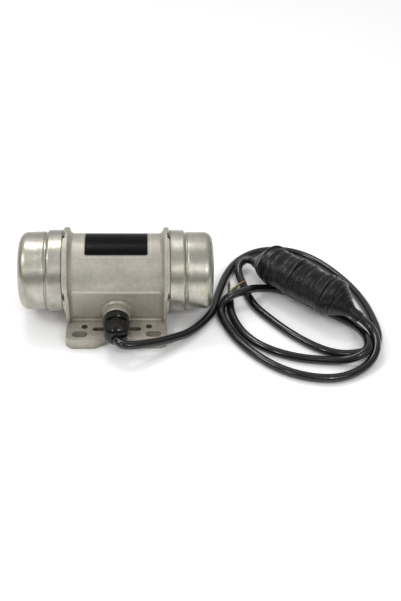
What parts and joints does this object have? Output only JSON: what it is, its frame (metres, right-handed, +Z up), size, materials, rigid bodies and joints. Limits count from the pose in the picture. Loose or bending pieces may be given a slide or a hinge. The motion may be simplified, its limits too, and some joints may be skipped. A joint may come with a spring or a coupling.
{
  "type": "vibration motor",
  "caption": "Foot-mounted vibration motor: flanged cast housing, drawn steel end covers over eccentric weights, side cable gland and a laid-out lead with a tape-wrapped in-line capacitor.",
  "frame": {"origin": "middle of the foot's outer slot pattern, on the plane the feet stand on", "axes": "+X along the shaft, +Y away from the cable gland, +Z up"},
  "size_m": [0.3422, 0.202, 0.0844],
  "materials": {
    "cast_aluminium": "sand cast, bead blasted satin",
    "black_plate": "satin black",
    "drawn_steel": "brushed along the drawing direction",
    "gland_plastic": "glossy black",
    "cable_rubber": "semi-gloss black",
    "seal_rubber": "matt black",
    "tape": "matt black insulating tape",
    "capacitor_plastic": "satin",
    "core_brown": "satin",
    "core_blue": "satin",
    "core_green_yellow": "satin, green stripe",
    "machined_steel": "ground",
    "lamination_steel": "stacked sheet",
    "rotor_aluminium": "as cast",
    "winding_copper": "enamelled copper",
    "zinc_steel": "zinc plated",
    "spring_steel": "blued",
    "bearing_steel": "polished",
    "cage_polymer": "satin",
    "weight_steel": "oiled"
  },
  "bodies": {
    "motor_frame": {"housing": "cast_aluminium", "nameplate": "black_plate", "left_cover": "drawn_steel", "left_cover_seal": "seal_rubber", "left_bearing_shield": "rotor_aluminium", "left_shield_screws": "zinc_steel", "left_retaining_ring": "spring_steel", "left_bearing_outer_ring": "bearing_steel", "right_cover": "drawn_steel", "right_cover_seal": "seal_rubber", "right_bearing_shield": "rotor_aluminium", "right_shield_screws": "zinc_steel", "right_retaining_ring": "spring_steel", "right_bearing_outer_ring": "bearing_steel", "stator_core": "lamination_steel", "stator_windings": "winding_copper", "gland_body": "gland_plastic", "gland_seal": "seal_rubber", "gland_nut": "gland_plastic", "motor_lead": "cable_rubber", "supply_lead": "cable_rubber", "capacitor": "capacitor_plastic", "capacitor_wrap": "tape", "core_brown": "core_brown", "core_blue": "core_blue", "core_green_yellow": "core_green_yellow"},
    "rotor": {"shaft": "machined_steel", "rotor_core": "lamination_steel", "rotor_cage": "rotor_aluminium", "left_bearing_inner_ring": "bearing_steel", "left_spacer": "machined_steel", "left_weight_key": "machined_steel", "left_fixed_weight": "weight_steel", "left_weight_washer": "machined_steel", "left_shaft_clip": "spring_steel", "right_bearing_inner_ring": "bearing_steel", "right_spacer": "machined_steel", "right_weight_key": "machined_steel", "right_fixed_weight": "weight_steel", "right_weight_washer": "machined_steel", "right_shaft_clip": "spring_steel"},
    "left_ball_set": {"left_bearing_balls": "bearing_steel", "left_bearing_cage": "cage_polymer"},
    "right_ball_set": {"right_bearing_balls": "bearing_steel", "right_bearing_cage": "cage_polymer"},
    "left_set_weight": {"left_adjustable_weight": "weight_steel", "left_clamp_screw": "zinc_steel"},
    "right_set_weight": {"right_adjustable_weight": "weight_steel", "right_clamp_screw": "zinc_steel"}
  },
  "joints": [
    {"name": "rotor_spin", "type": "hinge", "parent": "motor_frame", "child": "rotor", "pos_m": [0, 0, 0.0435], "axis": [1, 0, 0], "continuous": true},
    {"name": "left_cage_spin", "type": "hinge", "parent": "motor_frame", "child": "left_ball_set", "pos_m": [-0.041, 0, 0.0435], "axis": [1, 0, 0], "continuous": true},
    {"name": "right_cage_spin", "type": "hinge", "parent": "motor_frame", "child": "right_ball_set", "pos_m": [0.041, 0, 0.0435], "axis": [1, 0, 0], "continuous": true},
    {"name": "left_weight_adjust", "type": "hinge", "parent": "rotor", "child": "left_set_weight", "pos_m": [-0.0685, 0, 0.0435], "axis": [1, 0, 0], "range_deg": [0, 180]},
    {"name": "right_weight_adjust", "type": "hinge", "parent": "rotor", "child": "right_set_weight", "pos_m": [0.0685, 0, 0.0435], "axis": [1, 0, 0], "range_deg": [0, 180]}
  ],
  "couplings": [
    {"joint": "left_cage_spin", "follows": "rotor_spin", "ratio": 0.38},
    {"joint": "right_cage_spin", "follows": "rotor_spin", "ratio": 0.38}
  ]
}
